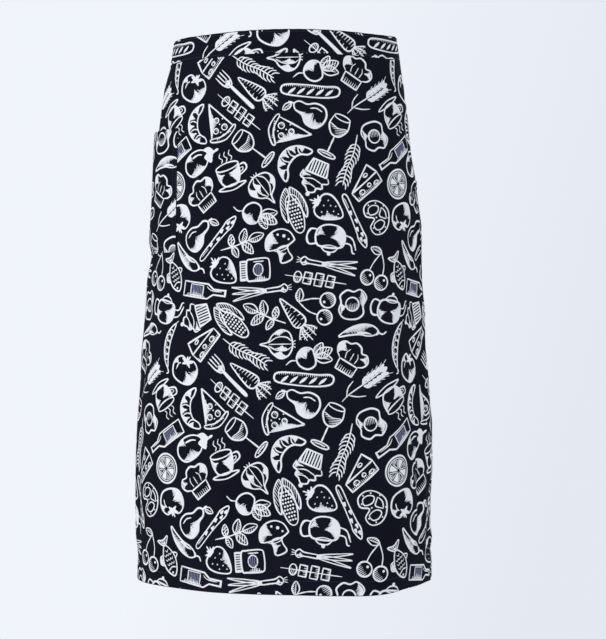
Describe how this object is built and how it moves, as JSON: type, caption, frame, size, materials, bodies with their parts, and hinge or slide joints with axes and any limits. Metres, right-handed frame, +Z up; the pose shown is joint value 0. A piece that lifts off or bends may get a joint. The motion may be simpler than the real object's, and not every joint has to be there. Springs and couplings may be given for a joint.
{
  "type": "chef waist apron",
  "caption": "Half-length wrap-round chef apron in its worn form, with a waistband, a hip pocket and ties in a bow at the back.",
  "frame": {"origin": "middle of the waist, level with the waistband's top edge", "axes": "+Z up, the apron's front faces -Y and +X is the wearer's left"},
  "size_m": [0.4134, 0.2936, 0.7501],
  "materials": {
    "printed_cotton": "matt black cotton twill with a white all-over line print",
    "black_tape": "matt black doubled cotton"
  },
  "bodies": {
    "root": {"apron_panel": "printed_cotton", "waistband": "printed_cotton", "hip_pocket": "printed_cotton", "tie_left": "black_tape", "tie_right": "black_tape", "bow_knot": "black_tape", "bow_loop_left": "black_tape", "bow_loop_right": "black_tape", "tie_end_left": "black_tape", "tie_end_right": "black_tape"}
  },
  "joints": []
}
